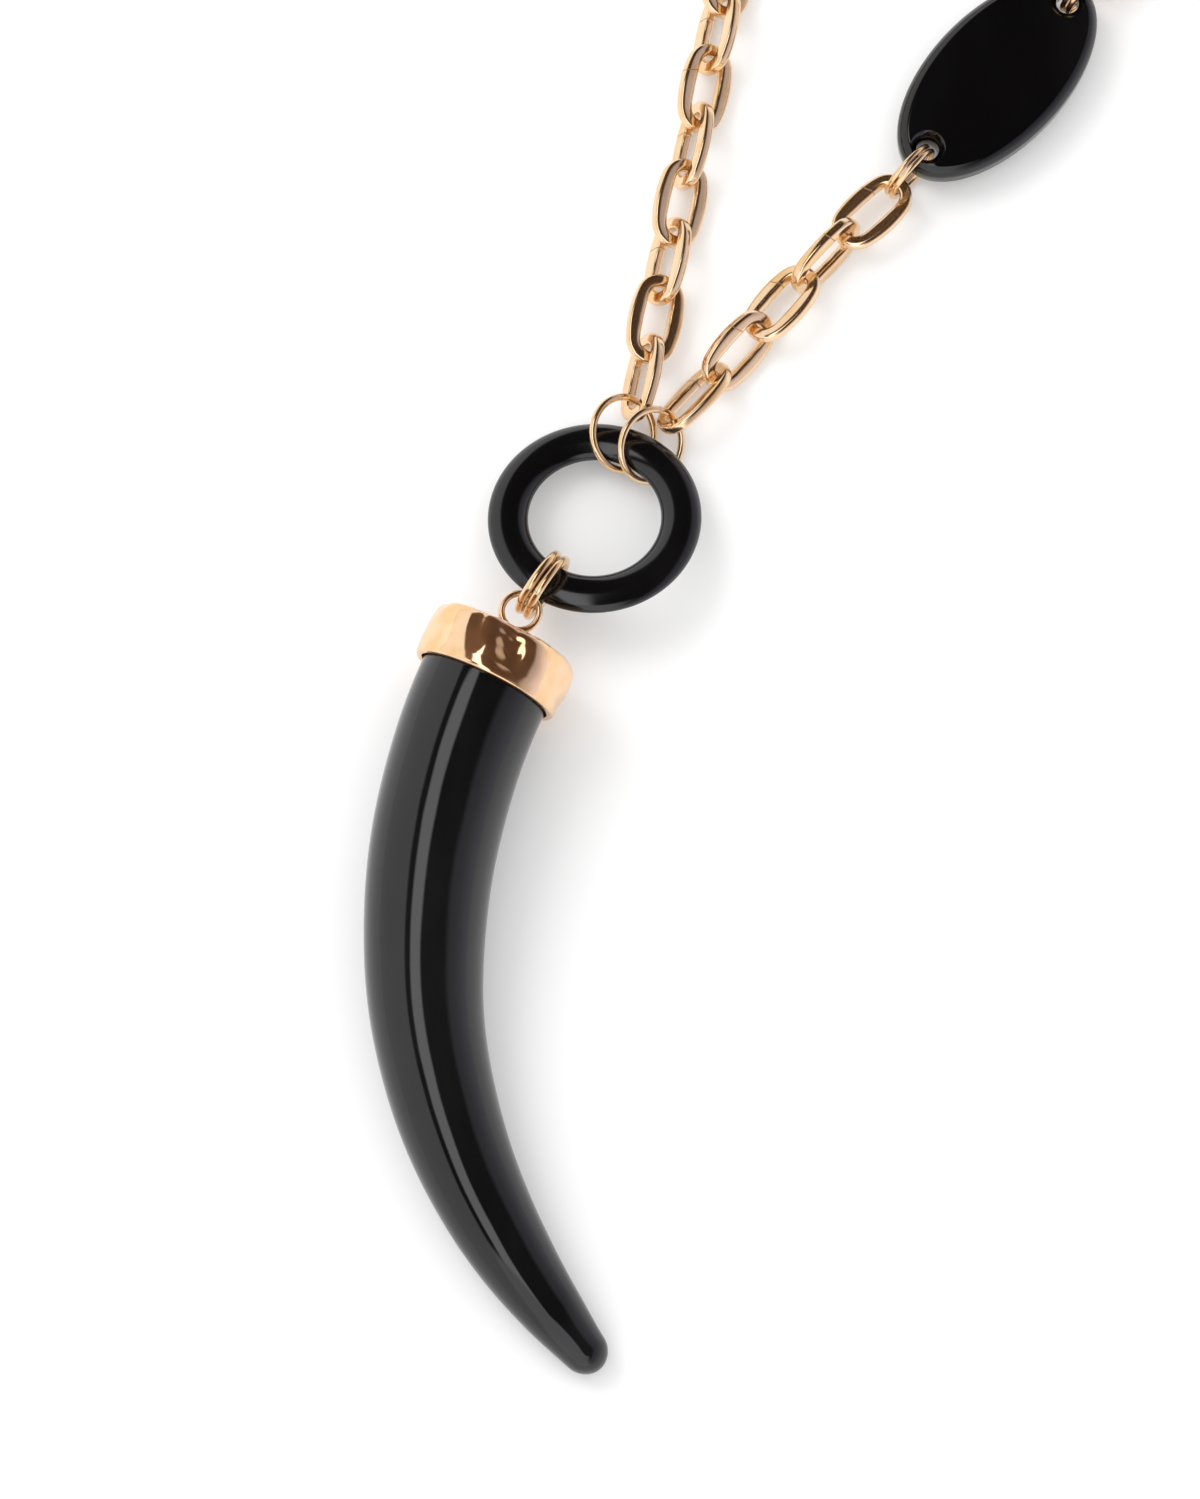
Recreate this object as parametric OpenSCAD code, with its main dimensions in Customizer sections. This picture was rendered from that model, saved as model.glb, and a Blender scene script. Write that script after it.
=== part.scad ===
// Horn pendant necklace, laid out on a flat surface.
// A black horn in a hammered cap hangs by two bail rings on a black ring.
// Two jump rings join that ring to a loop of oval cable chain, with one oval bead in it.
// The origin is below the middle of the black ring, on the surface, and +Z is up.

/* [Black ring] */
// Outer diameter of the black ring
ring_od = 28; // [25:0.5:32]
// Radial width of the black ring's band
ring_band = 5.3; // [4.6:0.1:6]
// Thickness of the black ring
ring_h = 3.1; // [2.9:0.1:3.4]
// Radius of the ring's rounded edges
ring_edge_r = 1.4; // [1:0.05:1.4]
// Radius of the ring's gently domed faces
ring_dome_r = 4.6; // [4:0.1:12]

/* [Horn] */
// Length of the horn from the cap's rim to the tip, along its curve
horn_l = 94.6; // [70:0.1:120]
// Diameter of the horn at the cap's rim
horn_d = 17.3; // [14:0.1:20]
// How far the horn goes up inside the cap
horn_seat = 6.8; // [5:0.1:7]

/* [Cap] */
// Height of the cap, from its rim to its top
cap_h = 8.5; // [8.4:0.1:11]
// Wall of the cap at its rim
cap_wall = 0.85; // [0.7:0.05:1.4]
// How far the cap's side bulges out past its rim
cap_bulge = 0.4; // [0.2:0.05:0.8]
// Radius of the cap's rounded shoulder
cap_shoulder_r = 3.2; // [2.4:0.1:3.6]
// Radius of the cap's gently domed top
cap_dome_r = 34; // [26:1:60]
// Thickness of the rolled lip round the rim
cap_lip = 0.85; // [0.7:0.05:1.1]
// How far the lip stands out from the cap's rim
cap_lip_out = 0.1; // [0.05:0.01:0.2]
// Depth of the hammer marks
dimple_depth = 0.3; // [0.15:0.05:0.35]
// Radius of the hammer's face
dimple_r = 7.5; // [6:0.5:9]
// Wire of the soldered eye
eye_wire = 0.9; // [0.8:0.05:1.1]
// Outer diameter of the soldered eye
eye_od = 5.8; // [5.2:0.1:6.6]
// How far the eye's middle stands above the cap's top
eye_rise = 2.4; // [2.2:0.1:2.8]

/* [Wire rings] */
// Wire of the two bail rings
bail_wire = 1.15; // [1:0.05:1.3]
// Wire of the two jump rings
jump_wire = 0.95; // [0.8:0.05:1]
// Wire of the doubled rings at the bead
bead_ring_wire = 0.75; // [0.6:0.05:0.85]
// Outer diameter of the doubled rings at the bead
bead_ring_od = 8.6; // [8:0.1:9]

/* [Chain] */
// Length of a link
link_l = 12.3; // [11.6:0.1:13.4]
// Width of a link
link_w = 7.4; // [7.2:0.1:8.4]
// Width of the wire along the link's sides
link_wire = 2; // [1.8:0.05:2.1]
// Width of the wire round the link's bent ends, which are worn inside
link_end_wire = 1.65; // [1.4:0.05:1.75]
// Thickness of the link's wire, from flat face to flat face
link_wire_h = 1.5; // [1.3:0.05:1.6]
// Radius of the link's round ends, at the middle of the sides' wire
link_end_r = 2.35; // [2.1:0.05:2.6]
// How much thicker the bent ends are than the sides, which leaves the fine seams
link_seam = 0.04; // [0.02:0.01:0.06]
// How far each link of the long chain slides back into its neighbour as it lies
link_slack = 0.7; // [0.3:0.05:1]
// Number of links between the right jump ring and the bead
short_links = 5; // [3:2:9]
// Number of links in the rest of the loop
long_links = 78; // [64:2:92]

/* [Bead] */
// Length of the oval bead
bead_l = 34.2; // [30:0.1:40]
// Width of the oval bead
bead_w = 18.2; // [15:0.1:22]
// Thickness of the bead
bead_h = 4.8; // [4:0.1:5]
// Width of the bevel round the bead's edge
bead_bevel = 1.6; // [1:0.1:2.2]
// Diameter of the bead's holes
bead_hole_d = 3; // [2.8:0.1:3.4]
// Diameter of the countersink at each hole's mouth
bead_sink_d = 4.7; // [4:0.1:5]
// From the bead's end to the middle of its hole
bead_hole_edge = 3.2; // [3.1:0.1:4]

/* [Hidden] */
$fn = 64;

// Clearances between pieces
gap = 0.15;
horn_gap = 0.25;
cut = 1;

// Colours
gold = "#e9c69c";
gold_cap = "#e3bd92";
resin = "#18171a";

// How the pieces lie, read from the photo
// Headings are degrees from +Y towards +X, and bearings are degrees from +X towards +Y
left_heading = 11.8;
right_heading = 42.8;
left_bearing = 72.9;
right_bearing = 54.6;
left_shift = [0.93, -0.7];
right_shift = [-0.31, -0.02];
jump_lean = [36, 42];
jump_turn = [-91, -88];
jump_up = [0.4, 0.3];
jump_slack = [0.19, 0.18];
bail_heading = 35.3;
bail_bearing = 235.8;
bail_drop = 2.3;
bail_up = 0.65;
cap_heading = 25.5;
ring_roll = 2;
wide_roll = 28;
narrow_roll = -56;

// The links that the photo shows don't alternate evenly: the long chain's first ones, and the short chain's
first_rolls = [-58, 19, -50, 28, -58, 31, -50];
short_rolls = [-50, 44, -25, 70, -12];
short_turns = [0, -2, -2, 0, 4];
short_sides = [0, -0.12, -0.25, -0.42, 0];

// Play in the wire rings, past what each has to hold
bail_play = 1.3;
bail_slack = 0.4;
eye_play = 0.85;
jump_play = 1.75;
bead_ring_slack = 0.78;
short_slack = 0.15;
bead_ring_shift = 0.08;

// Plan directions and small vector helpers
function ahead(h) = [sin(h), cos(h), 0];
function right_of(h) = [cos(h), -sin(h), 0];
function cross2(p, q) = p.x * q.y - p.y * q.x;
function mix(a, b, t) = a + (b - a) * t;
function clamp01(t) = min(1, max(0, t));

// Black ring: it lies with its far edge on the jump rings' wire and its near edge held up by the bails
ring_c = (ring_od - ring_band) / 2;
cap_r = horn_d / 2 + horn_gap + cap_wall;
cap_z = cap_r + max(cap_bulge, cap_lip_out);
ring_half_h = ring_h / 2;
ring_low = jump_wire + gap;
ring_lean = asin((cap_z - bail_drop - ring_low - ring_half_h) / (ring_c * (1 - sin(bail_bearing))));
ring_z = ring_low + ring_c * sin(ring_lean)
    + norm([ring_band / 2 * sin(ring_lean), ring_half_h * cos(ring_lean)]);

// Middle of the ring's band at a bearing, once the ring is leaned and rolled
function ring_roll_pt(p) = [p.x * cos(ring_roll), p.y, p.x * sin(ring_roll)];
function ring_lean_pt(p) = [p.x, p.y * cos(ring_lean) + p.z * sin(ring_lean),
    -p.y * sin(ring_lean) + p.z * cos(ring_lean)];
function band_at(b) = [0, 0, ring_z] + ring_lean_pt(ring_roll_pt(ring_c * [cos(b), sin(b), 0]));

// Bail rings: upright, side by side, round the band and through the eye
bail_id = ring_band + eye_wire + bail_play;
bail_c = (bail_id + bail_wire) / 2;
bail_back = (bail_id - ring_band) / 2 - bail_slack;
bail_mid = band_at(bail_bearing) - ahead(bail_heading) * bail_back + [0, 0, bail_up];
bail_side = (bail_wire + gap) / 2;

// Eye and cap: the cap lies with its rim on the surface
eye_c = (eye_od - eye_wire) / 2;
eye_reach = (bail_id - eye_wire) / 2 - eye_play;
eye_far = [bail_mid.x, bail_mid.y, cap_z] - ahead(bail_heading) * eye_reach;
eye_mid = eye_far - ahead(bail_heading) * eye_c;
cap_rim = eye_mid - ahead(cap_heading) * (cap_h + eye_rise);

// Jump rings: round the band, leaning, with one chain end each
jump_id = ring_band + link_end_wire + jump_play;
jump_c = (jump_id + jump_wire) / 2;
function jump_out(which) = (jump_id - ring_band) / 2 - jump_slack[which];
function jump_mid(b, which) = band_at(b) + [cos(b), sin(b), 0] * jump_out(which) + [0, 0, jump_up[which]];

// Chain: links stand on the edges of the steep ones
half_links = long_links / 2;
seam_turn = 2;
link_trim = link_wire - link_end_wire;
pitch = link_l - 2 * link_end_wire - gap;
long_pitch = pitch - link_slack;
short_pitch = pitch - short_slack;
link_half_w = (link_w - link_wire) / 2;
link_z = link_half_w * sin(-min(first_rolls)) + link_wire / 2;
first_link = jump_id / 2 - link_end_wire - gap + link_l / 2;
function strand_start(b, h, shift, which) =
    let (j = jump_mid(b, which))
    [j.x, j.y, link_z] + ahead(h) * (first_link + shift.y) + right_of(h) * shift.x;
left_start = strand_start(left_bearing, left_heading, left_shift, 0);
right_start = strand_start(right_bearing, right_heading, right_shift, 1);

// Bead and its rings, in line with the right strand
bead_ring_c = (bead_ring_od - bead_ring_wire) / 2;
bead_ring_side = (bead_ring_wire + gap) / 2;
bead_ring_z = bead_ring_od / 2;
bead_z = bead_ring_z;
link_to_ring = link_l / 2 - link_end_wire + bead_ring_od / 2 - bead_ring_wire - bead_ring_slack;
ring_bow = bead_ring_c - sqrt(pow(bead_ring_c, 2) - pow(bead_h / 2, 2));
ring_to_hole = bead_ring_c - ring_bow / 2;
holes = bead_l - 2 * bead_hole_edge;
near_ring_at = (short_links - 1) * short_pitch + link_to_ring;
bead_at = near_ring_at + ring_to_hole + holes / 2;
far_ring_at = bead_at + holes / 2 + ring_to_hole;
far_link_at = far_ring_at + link_to_ring;
function right_line(s) = right_start + ahead(right_heading) * s;

// Route of the long chain: along the left strand, round a circle that touches both strands, and back
spread = right_heading - left_heading;
start_step = right_start - left_start;
inward = -right_of(right_heading) - right_of(left_heading);
strand_cross = cross2(ahead(left_heading), ahead(right_heading));
a0 = cross2(start_step, ahead(right_heading)) / strand_cross;
a1 = cross2(inward, ahead(right_heading)) / strand_cross;
b0 = cross2(start_step, ahead(left_heading)) / strand_cross;
b1 = cross2(inward, ahead(left_heading)) / strand_cross;
turn = 180 + spread;
turn_share = turn * PI / 180;
chain_run = (long_links - 1) * long_pitch;
loop_r = (chain_run - a0 - b0 + far_link_at) / (a1 + b1 + turn_share);
left_run = a0 + a1 * loop_r;
arc_run = loop_r * turn_share;
loop_mid = left_start + ahead(left_heading) * left_run + right_of(left_heading) * loop_r;

// Place and heading of the long chain's point at distance s from its first link
function route_heading(s) = left_heading + turn * clamp01((s - left_run) / arc_run);
function route_at(s) =
    s < left_run ? left_start + ahead(left_heading) * s
    : s < left_run + arc_run ? loop_mid - right_of(route_heading(s)) * loop_r
    : right_line(far_link_at + chain_run - s);

// Horn: shares of its length, with its heading away from the cap and its shares of horn_d
SHARE = 0;
TURN = 1;
WIDTH = 2;
horn_rows = [
    [0.0, 24, 1],
    [0.1, 17.5, 0.985],
    [0.2, 12, 0.965],
    [0.3, 5, 0.93],
    [0.4, -1, 0.885],
    [0.5, -10, 0.83],
    [0.6, -17.5, 0.775],
    [0.7, -25, 0.7],
    [0.8, -32, 0.605],
    [0.9, -38, 0.47],
    [1.0, -41, 0.31]
];
horn_sides = 28;
horn_steps = 40;
horn_tip_steps = 5;
horn_rest_share = 0.55;
horn_rim_lift = cap_z - horn_d / 2;

// Smooth reading of one column of the horn's table
function spline(a, b, c, d, t) =
    b + 0.5 * t * (c - a + t * (2 * a - 5 * b + 4 * c - d + t * (3 * (b - c) + d - a)));
function horn_read(u, column) =
    let (n = len(horn_rows) - 1, x = clamp01(u) * n, i = min(n - 1, floor(x)))
    spline(horn_rows[max(0, i - 1)][column], horn_rows[i][column], horn_rows[i + 1][column],
        horn_rows[min(n, i + 2)][column], x - i);
horn_tip_r = horn_d / 2 * horn_rows[len(horn_rows) - 1][WIDTH];
horn_tip_u = 1 - horn_tip_r / horn_l;
function horn_radius(u) =
    let (r = horn_d / 2 * horn_read(u, WIDTH), over = clamp01((u - horn_tip_u) / (1 - horn_tip_u)))
    u < horn_tip_u ? r : r * sqrt(max(0, 1 - pow(over, 2)));
function horn_full_radius(u) = horn_d / 2 * horn_read(u, WIDTH);
function horn_heading(u) = horn_read(u, TURN);
function horn_lift(u) = horn_rim_lift * (1 + cos(180 * clamp01(u / horn_rest_share))) / 2;
horn_us = concat(
    [for (i = [0 : horn_steps]) horn_tip_u * i / horn_steps],
    [for (i = [1 : horn_tip_steps]) mix(horn_tip_u, 1, sin(85 * i / horn_tip_steps))]
);
// Running sum of the plan steps from the rim to the tip
function horn_step(i) =
    -ahead(horn_heading((horn_us[i] + horn_us[i + 1]) / 2)) * (horn_us[i + 1] - horn_us[i]) * horn_l;
horn_plan = [
    for (i = 0, p = [cap_rim.x, cap_rim.y, 0]; i < len(horn_us);
        p = i < len(horn_us) - 1 ? p + horn_step(i) : p, i = i + 1) p
];

// One ring of the horn's skin, square to its heading
function skin(p, h, r) = [
    for (k = [0 : horn_sides - 1])
    let (a = 360 * k / horn_sides)
    p + right_of(h) * r * cos(a) + [0, 0, r * sin(a)]
];
function horn_point(i) =
    let (u = horn_us[i]) horn_plan[i] + [0, 0, horn_full_radius(u) + horn_lift(u)];
horn_seat_point = cap_rim + ahead(cap_heading) * horn_seat;
horn_rings = concat(
    [skin(horn_seat_point, cap_heading, horn_d / 2)],
    [for (i = [0 : len(horn_us) - 1]) skin(horn_point(i), horn_heading(horn_us[i]), horn_radius(horn_us[i]))]
);
function tube_faces(rings, sides) = concat(
    [[for (k = [0 : sides - 1]) k]],
    [for (i = [0 : rings - 2], k = [0 : sides - 1])
        let (n = (k + 1) % sides)
        each [[i * sides + n, i * sides + k, (i + 1) * sides + k],
            [i * sides + n, (i + 1) * sides + k, (i + 1) * sides + n]]],
    [[for (k = [sides - 1 : -1 : 0]) (rings - 1) * sides + k]]
);

// Cap: its side is one arc that is widest at the waist and comes in to cap_r at the rim
cap_waist_share = 0.45;
cap_wide_r = cap_r + cap_bulge;
cap_waist = cap_waist_share * cap_h;
cap_side_r = (pow(cap_waist, 2) + pow(cap_bulge, 2)) / (2 * cap_bulge);
function cap_side(z) = cap_wide_r - cap_side_r + sqrt(pow(cap_side_r, 2) - pow(z - cap_waist, 2));

// Hammer marks: rings of marks round the cap, each [height share of cap_h, marks in the ring]
dimple_rings = [[0.26, 12], [0.62, 12]];
dimple_shift = 0.5;
dimple_sway = 6;
dimple_drift = 0.3;
dimple_least = 0.8;

// Bead: rows are shares of the bevel's width, inwards, and of the half thickness
bead_rows = [[0, 0], [0, 0.4], [0.22, 0.68], [0.58, 0.88], [1, 1]];
bead_sides = 72;
bead_sink = (bead_sink_d - bead_hole_d) / 2;

// A wire ring in its own XY plane
module wire_ring(middle_r, wire) {
    rotate_extrude() translate([middle_r, 0]) circle(d = wire, $fn = 24);
}

// A wire ring that stands upright along a heading
module upright_ring(middle_r, wire, heading) {
    rotate([0, 0, -heading]) rotate([0, 90, 0]) wire_ring(middle_r, wire);
}

module horn() {
    color(resin)
    polyhedron(
        points = [for (ring = horn_rings) each ring],
        faces = tube_faces(len(horn_rings), horn_sides),
        convexity = 6
    );
}

module cap_profile() {
    cavity_r = horn_d / 2 + horn_gap;
    difference() {
        union() {
            intersection() {
                union() {
                    square([cap_wide_r - cap_shoulder_r, cap_h]);
                    square([cap_wide_r, cap_h - cap_shoulder_r]);
                    translate([cap_wide_r - cap_shoulder_r, cap_h - cap_shoulder_r]) circle(r = cap_shoulder_r);
                }
                translate([0, cap_h - cap_dome_r]) circle(r = cap_dome_r, $fn = 256);
                translate([cap_wide_r - cap_side_r, cap_waist]) circle(r = cap_side_r, $fn = 256);
            }
            translate([cap_r + cap_lip_out - cap_lip / 2, cap_lip / 2]) circle(d = cap_lip, $fn = 24);
        }
        translate([-cut, -cut]) square([cavity_r + cut, horn_seat + gap + cut]);
    }
}

module hammer_marks() {
    for (row = [0 : len(dimple_rings) - 1]) {
        count = dimple_rings[row][1];
        for (i = [0 : count - 1]) {
            sway = dimple_sway * sin(137 * (i + 3 * row));
            depth = dimple_depth * mix(dimple_least, 1, cos(97 * i + 40 * row));
            height = cap_h * dimple_rings[row][0] + dimple_drift * cos(71 * i + 30 * row);
            rotate([0, 0, 360 * (i + dimple_shift * row) / count + sway])
            translate([cap_side(height) + dimple_r - depth, 0, height])
            sphere(r = dimple_r, $fn = 48);
        }
    }
}

module cap() {
    color(gold_cap)
    translate(cap_rim)
    rotate([0, 0, -cap_heading])
    rotate([-90, 0, 0]) {
        difference() {
            rotate_extrude() cap_profile();
            hammer_marks();
        }
        translate([0, 0, cap_h + eye_rise])
        rotate([90, 0, 0])
        wire_ring(eye_c, eye_wire);
    }
}

module bail_ring(side) {
    color(gold)
    translate(bail_mid + right_of(bail_heading) * side)
    upright_ring(bail_c, bail_wire, bail_heading);
}

module ring_section() {
    inner = ring_od / 2 - ring_band;
    intersection() {
        union() {
            translate([inner + ring_edge_r, -ring_half_h]) square([ring_band - 2 * ring_edge_r, ring_h]);
            translate([inner, ring_edge_r - ring_half_h]) square([ring_band, ring_h - 2 * ring_edge_r]);
            for (x = [inner + ring_edge_r, ring_od / 2 - ring_edge_r], y = [-1, 1])
                translate([x, y * (ring_half_h - ring_edge_r)]) circle(r = ring_edge_r, $fn = 32);
        }
        translate([ring_c, ring_half_h - ring_dome_r]) circle(r = ring_dome_r, $fn = 128);
        translate([ring_c, ring_dome_r - ring_half_h]) circle(r = ring_dome_r, $fn = 128);
    }
}

module black_ring() {
    color(resin)
    translate([0, 0, ring_z])
    rotate([-ring_lean, 0, 0])
    rotate([0, -ring_roll, 0])
    rotate_extrude($fn = 128) ring_section();
}

module jump_ring(bearing, which) {
    color(gold)
    translate(jump_mid(bearing, which))
    rotate([0, 0, bearing + jump_turn[which]])
    rotate([0, jump_lean[which], 0])
    wire_ring(jump_c, jump_wire);
}

// The wire's section at a radius, with a flat face above and below
module wire_section(radius, extra) {
    height = link_wire_h + extra;
    intersection() {
        translate([radius, 0]) circle(d = link_wire + extra, $fn = 24);
        translate([radius - link_wire, -height / 2]) square([2 * link_wire, height]);
    }
}

// A link lies along X: two bent ends, and two curved sides that run a little way into them
module chain_link() {
    end_x = link_l / 2 - link_wire / 2 - link_end_r;
    side_r = (pow(link_half_w, 2) + pow(end_x, 2) - pow(link_end_r, 2)) / (2 * (link_half_w - link_end_r));
    half_end = atan2(side_r - link_half_w, end_x);
    half_bend = half_end + seam_turn;
    for (end = [0, 1]) rotate([0, 0, 180 * end]) {
        translate([end_x, 0, 0])
        rotate_extrude(angle = 2 * half_bend, start = -half_bend, $fn = 96)
        intersection() {
            wire_section(link_end_r, link_seam);
            translate([link_end_r + link_trim, 0]) circle(d = link_wire, $fn = 24);
        }
        translate([0, link_half_w - side_r, 0])
        rotate_extrude(angle = 180 - 2 * half_end, start = half_end, $fn = 96)
        wire_section(side_r, 0);
    }
}

// Poses of the links, by number
function short_at(list, i) = list[i % len(list)];
function long_roll(i) = i < len(first_rolls) ? first_rolls[i] : i % 2 == 0 ? narrow_roll : wide_roll;

// A link turned to its heading and rolled about its own length, and lifted where its low side meets the surface
module placed_link(place, heading, roll) {
    translate([place.x, place.y, max(link_z, link_half_w * sin(abs(roll)) + link_wire / 2)])
    rotate([0, 0, 90 - heading])
    rotate([roll, 0, 0])
    chain_link();
}

module chain_short() {
    color(gold)
    for (i = [0 : short_links - 1])
        placed_link(
            right_line(i * short_pitch) + right_of(right_heading) * short_at(short_sides, i),
            right_heading + short_at(short_turns, i),
            short_at(short_rolls, i)
        );
}

module chain_part(first, last) {
    color(gold)
    for (i = [first : last])
        placed_link(route_at(i * long_pitch), route_heading(i * long_pitch), long_roll(i));
}

module bead_ring(s, side) {
    place = right_line(s) + right_of(right_heading) * (side + bead_ring_shift);
    color(gold)
    translate([place.x, place.y, bead_ring_z])
    upright_ring(bead_ring_c, bead_ring_wire, right_heading);
}

// One oval outline of the bead, drawn in by a share of the bevel
function bead_oval(inset, z) = [
    for (k = [0 : bead_sides - 1])
    let (a = 360 * k / bead_sides)
    [(bead_l / 2 - inset) * cos(a), (bead_w / 2 - inset) * sin(a), z]
];
bead_rings = concat(
    [for (i = [len(bead_rows) - 1 : -1 : 1]) bead_oval(bead_rows[i][0] * bead_bevel, -bead_rows[i][1] * bead_h / 2)],
    [for (row = bead_rows) bead_oval(row[0] * bead_bevel, row[1] * bead_h / 2)]
);

module oval_bead() {
    place = right_line(bead_at);
    color(resin)
    translate([place.x, place.y, bead_z])
    rotate([0, 0, 90 - right_heading])
    difference() {
        polyhedron(
            points = [for (ring = bead_rings) each ring],
            faces = tube_faces(len(bead_rings), bead_sides),
            convexity = 4
        );
        for (x = [-holes / 2, holes / 2]) translate([x, 0, 0]) {
            cylinder(h = bead_h + 2 * cut, d = bead_hole_d, center = true);
            for (up = [0, 180]) rotate([up, 0, 0])
                translate([0, 0, bead_h / 2 - bead_sink])
                cylinder(h = bead_sink + cut, d1 = bead_hole_d, d2 = bead_sink_d + 2 * cut);
        }
    }
}

horn();
cap();
bail_ring(-bail_side);  // bail_ring_a
bail_ring(bail_side);  // bail_ring_b
black_ring();
jump_ring(left_bearing, 0);  // jump_ring_left
jump_ring(right_bearing, 1);  // jump_ring_right
chain_short();
bead_ring(near_ring_at, -bead_ring_side);  // bead_ring_near_a
bead_ring(near_ring_at, bead_ring_side);  // bead_ring_near_b
oval_bead();
bead_ring(far_ring_at, -bead_ring_side);  // bead_ring_far_a
bead_ring(far_ring_at, bead_ring_side);  // bead_ring_far_b
chain_part(0, half_links - 1);  // chain_left
chain_part(half_links, long_links - 1);  // chain_right
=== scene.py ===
"""A horn pendant necklace lying on a pale surface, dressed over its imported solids.

Lengths in the classes are millimetres and angles are degrees. Meshes are in metres, in the solids' frame:
the origin lies on the surface below the middle of the black ring, +Y runs up the loop and +Z is up.
"""
import logging
import math
from dataclasses import dataclass, field
from enum import Enum
from typing import Callable, Sequence

import bmesh
import bpy
import numpy as np
from mathutils import Euler, Matrix, Vector


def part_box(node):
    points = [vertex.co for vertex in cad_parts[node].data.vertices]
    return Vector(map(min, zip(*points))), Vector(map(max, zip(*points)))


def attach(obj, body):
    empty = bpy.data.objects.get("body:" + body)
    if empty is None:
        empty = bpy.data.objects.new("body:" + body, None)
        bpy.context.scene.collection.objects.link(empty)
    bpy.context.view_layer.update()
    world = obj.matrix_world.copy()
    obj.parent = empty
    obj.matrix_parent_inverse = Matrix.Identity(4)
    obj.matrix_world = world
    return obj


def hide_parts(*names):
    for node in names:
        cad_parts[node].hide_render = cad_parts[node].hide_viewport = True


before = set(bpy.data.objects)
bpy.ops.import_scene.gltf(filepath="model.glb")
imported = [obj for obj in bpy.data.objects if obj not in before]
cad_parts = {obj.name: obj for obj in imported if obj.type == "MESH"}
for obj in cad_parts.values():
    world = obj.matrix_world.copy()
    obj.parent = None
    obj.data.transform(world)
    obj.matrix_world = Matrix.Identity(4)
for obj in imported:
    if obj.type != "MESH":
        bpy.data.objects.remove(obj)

LOG = logging.getLogger("necklace")
MM = 0.001
Triple = tuple[float, float, float]
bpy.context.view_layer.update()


# Node trees


def operator(operation: str, swapped: bool = False) -> "Callable[[Term, Term | float], Term]":
    """Makes one of Python's operators for a Term.

    Args:
        operation: The Math node's operation.
        swapped: Whether the other operand comes first, as in the reflected forms.

    Returns:
        The method.
    """

    def method(self: "Term", other: "Term | float") -> "Term":
        """Returns the Math node's result."""
        first, second = (Term(self.graph, other), self) if swapped else (self, other)
        return first.math(operation, second)

    return method


class Term:
    """A number or a socket in a node tree, with Python's operators for its Math nodes."""

    def __init__(self, graph: "Graph", value: "bpy.types.NodeSocket | float") -> None:
        """Keeps the graph that new nodes go into, and an output socket or plain number."""
        self.graph = graph
        self.value = value

    def math(self, operation: str, *others: "Term | float") -> "Term":
        """Returns the result of a new Math node with these operands."""
        operands = dict(enumerate((self, *others)))
        return self.graph.add("ShaderNodeMath", operands, operation=operation).out()

    __add__, __radd__ = operator("ADD"), operator("ADD", True)
    __sub__, __rsub__ = operator("SUBTRACT"), operator("SUBTRACT", True)
    __mul__, __rmul__ = operator("MULTIPLY"), operator("MULTIPLY", True)
    __truediv__, __rtruediv__ = operator("DIVIDE"), operator("DIVIDE", True)
    __pow__, __rpow__ = operator("POWER"), operator("POWER", True)

    def __neg__(self) -> "Term":
        """Returns the value with its sign turned."""
        return self.math("MULTIPLY", -1.0)

    def ramp(self, low: float, high: float) -> "Term":
        """Returns 0 at low and below, 1 at high and above, and a smooth step between."""
        sockets = {"Value": self, "From Min": low, "From Max": high, "To Min": 0.0, "To Max": 1.0}
        return self.graph.add("ShaderNodeMapRange", sockets, interpolation_type="SMOOTHSTEP").out()


@dataclass
class Added:
    """A node that a graph has added."""

    graph: "Graph"
    node: bpy.types.Node

    def out(self, name: "str | int" = 0) -> Term:
        """Returns one of the node's outputs."""
        return Term(self.graph, self.node.outputs[name])


class Graph:
    """A shader or geometry node tree, and the one way to put nodes in it."""

    def __init__(self, tree: bpy.types.NodeTree) -> None:
        """Keeps the tree and empties it."""
        self.tree = tree
        tree.nodes.clear()

    def add(self, kind: str, sockets: "dict | None" = None, **settings: object) -> Added:
        """Adds a node, sets it, and then fills its sockets.

        Args:
            kind: The node's type.
            sockets: A value, Term or list of Terms for each input, by name or number.
            settings: The node's own settings; stops sets a colour ramp's stops.

        Returns:
            The added node.
        """
        node = self.tree.nodes.new(kind)
        stops = settings.pop("stops", None)
        for name, value in settings.items():
            setattr(node, name, value)
        if stops:
            self._set_stops(node.color_ramp, stops)
        for name, value in (sockets or {}).items():
            for item in value if isinstance(value, list) else [value]:
                self._fill(node.inputs[name], item)
        return Added(self, node)

    def _fill(self, socket: bpy.types.NodeSocket, value: object) -> None:
        """Links a socket to a Term's output, or gives it a plain value."""
        if isinstance(value, Term):
            value = value.value
        if isinstance(value, bpy.types.NodeSocket):
            self.tree.links.new(value, socket)
        else:
            socket.default_value = value

    @staticmethod
    def _set_stops(ramp: bpy.types.ColorRamp, stops: Sequence[tuple[float, tuple]]) -> None:
        """Gives a colour ramp its stops, each a place and a colour."""
        while len(ramp.elements) < len(stops):
            ramp.elements.new(1.0)
        for element, (place, colour) in zip(ramp.elements, stops):
            element.position = place
            element.color = (*colour, 1.0)


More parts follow.
